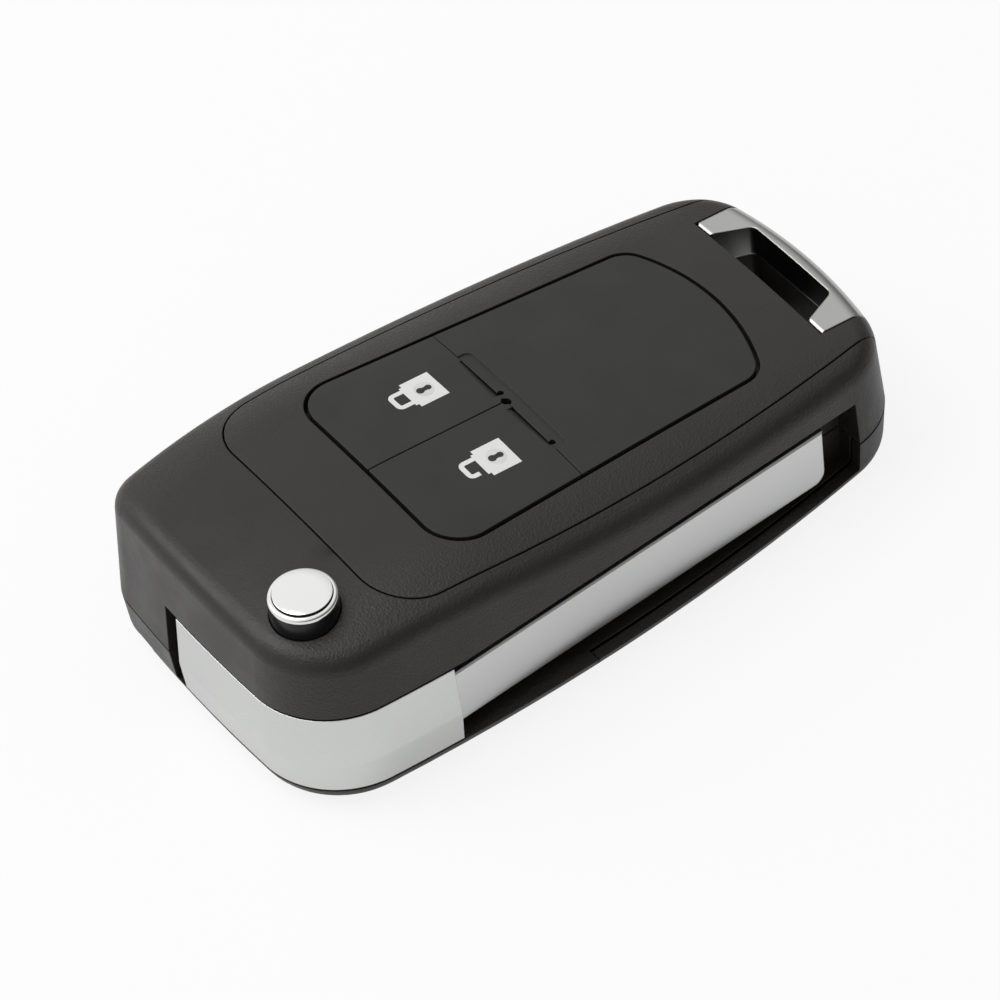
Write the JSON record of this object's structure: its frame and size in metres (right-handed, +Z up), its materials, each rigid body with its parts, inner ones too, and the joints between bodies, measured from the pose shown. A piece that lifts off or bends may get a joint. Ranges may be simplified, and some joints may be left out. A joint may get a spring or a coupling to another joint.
{
  "type": "flip key remote",
  "caption": "Folding vehicle key in a remote case: lock and unlock buttons on top, a sprung release button, a blade folded in the side and a slot for a key ring.",
  "frame": {"origin": "middle of the case's footprint, on the surface that the key rests on", "axes": "+X towards the key ring end, -Y the side that the blade folds into, +Z up, the way the buttons face"},
  "size_m": [0.0803, 0.0411, 0.0252],
  "materials": {
    "case_black": "fine moulded grain, satin",
    "panel_black": "smooth soft-touch satin",
    "button_black": "smooth soft-touch satin",
    "satin_chrome": "satin plated",
    "bright_chrome": "plated, satin top and bright edges",
    "blade_steel": "satin nickel plated",
    "hub_black": "moulded, satin",
    "spring_steel": "drawn wire",
    "board_green": "solder resist, semi gloss",
    "frame_black": "moulded, satin",
    "cell_steel": "nickel plated can",
    "contact_metal": "plated spring sheet",
    "switch_black": "moulded, satin",
    "plunger_white": "moulded, satin",
    "chip_black": "moulded package, matt",
    "crystal_can": "drawn can",
    "coil_copper": "enamelled wire on a dark bobbin",
    "transponder_dark": "moulded wedge, matt"
  },
  "bodies": {
    "case": {"upper_case": "case_black", "button_panel": "panel_black", "blank_field": "button_black", "key_ring_bar": "bright_chrome", "rear_case": "case_black", "board_frame": "frame_black", "circuit_board": "board_green", "battery": "cell_steel", "negative_contact": "contact_metal", "positive_contact": "contact_metal", "lock_switch": "switch_black", "unlock_switch": "switch_black", "controller_chip": "chip_black", "crystal": "crystal_can", "antenna_coil": "coil_copper", "transponder": "transponder_dark"},
    "blade": {"blade_hub": "hub_black", "hub_trim": "satin_chrome", "key_blade": "blade_steel", "blade_pin": "spring_steel", "flip_spring": "spring_steel"},
    "release": {"release_button": "bright_chrome", "release_shaft": "hub_black"},
    "lock": {"lock_button": "button_black", "lock_plunger": "plunger_white"},
    "unlock": {"unlock_button": "button_black", "unlock_plunger": "plunger_white"},
    "cover": {"battery_cover": "case_black"}
  },
  "joints": [
    {"name": "blade_flip", "type": "hinge", "parent": "case", "child": "blade", "pos_m": [-0.0327, -0.0106, 0], "axis": [0, 0, 1], "range_deg": [-182.2, 0]},
    {"name": "release_press", "type": "slide", "parent": "case", "child": "release", "axis": [0, 0, -1], "range_m": [0, 0.0018], "stiffness_N_per_m": 2500, "deforming": ["flip_spring"]},
    {"name": "lock_press", "type": "slide", "parent": "case", "child": "lock", "axis": [0, 0, -1], "range_m": [0, 0.0003], "stiffness_N_per_m": 6000},
    {"name": "unlock_press", "type": "slide", "parent": "case", "child": "unlock", "axis": [0, 0, -1], "range_m": [0, 0.0003], "stiffness_N_per_m": 6000},
    {"name": "cover_off", "type": "slide", "parent": "case", "child": "cover", "axis": [0, 0, -1], "range_m": [0, 0.01]}
  ]
}
